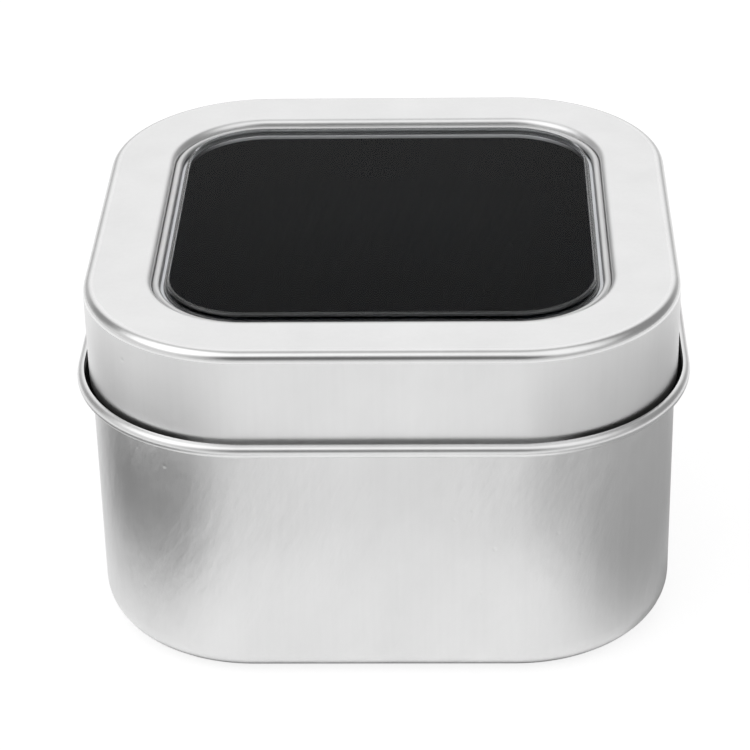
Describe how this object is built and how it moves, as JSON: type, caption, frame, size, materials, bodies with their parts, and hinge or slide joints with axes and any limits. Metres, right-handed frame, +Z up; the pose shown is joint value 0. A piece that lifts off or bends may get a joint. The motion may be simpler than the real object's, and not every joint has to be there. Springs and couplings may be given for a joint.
{
  "type": "window lid tin",
  "caption": "Square rounded-corner tin of satin tinplate with a lift-off slip lid, a rolled bead on the lid's lower edge and a clear window held in a recessed frame by a half-round ring.",
  "frame": {"origin": "middle of the face that the tin stands on", "axes": "+Z up through the middle of the lid, +X and +Y square to two sides"},
  "size_m": [0.084, 0.084, 0.051],
  "materials": {
    "tinplate": "satin tinplate",
    "ring_metal": "drawn half-round wire",
    "clear_plastic": "clear formed sheet"
  },
  "bodies": {
    "base": {"base_shell": "tinplate"},
    "lid": {"lid_shell": "tinplate", "window_ring": "ring_metal", "window_pane": "clear_plastic"}
  },
  "joints": [
    {"name": "lid_lift", "type": "slide", "parent": "base", "child": "lid", "axis": [0, 0, 1], "range_m": [0, 0.06]}
  ]
}
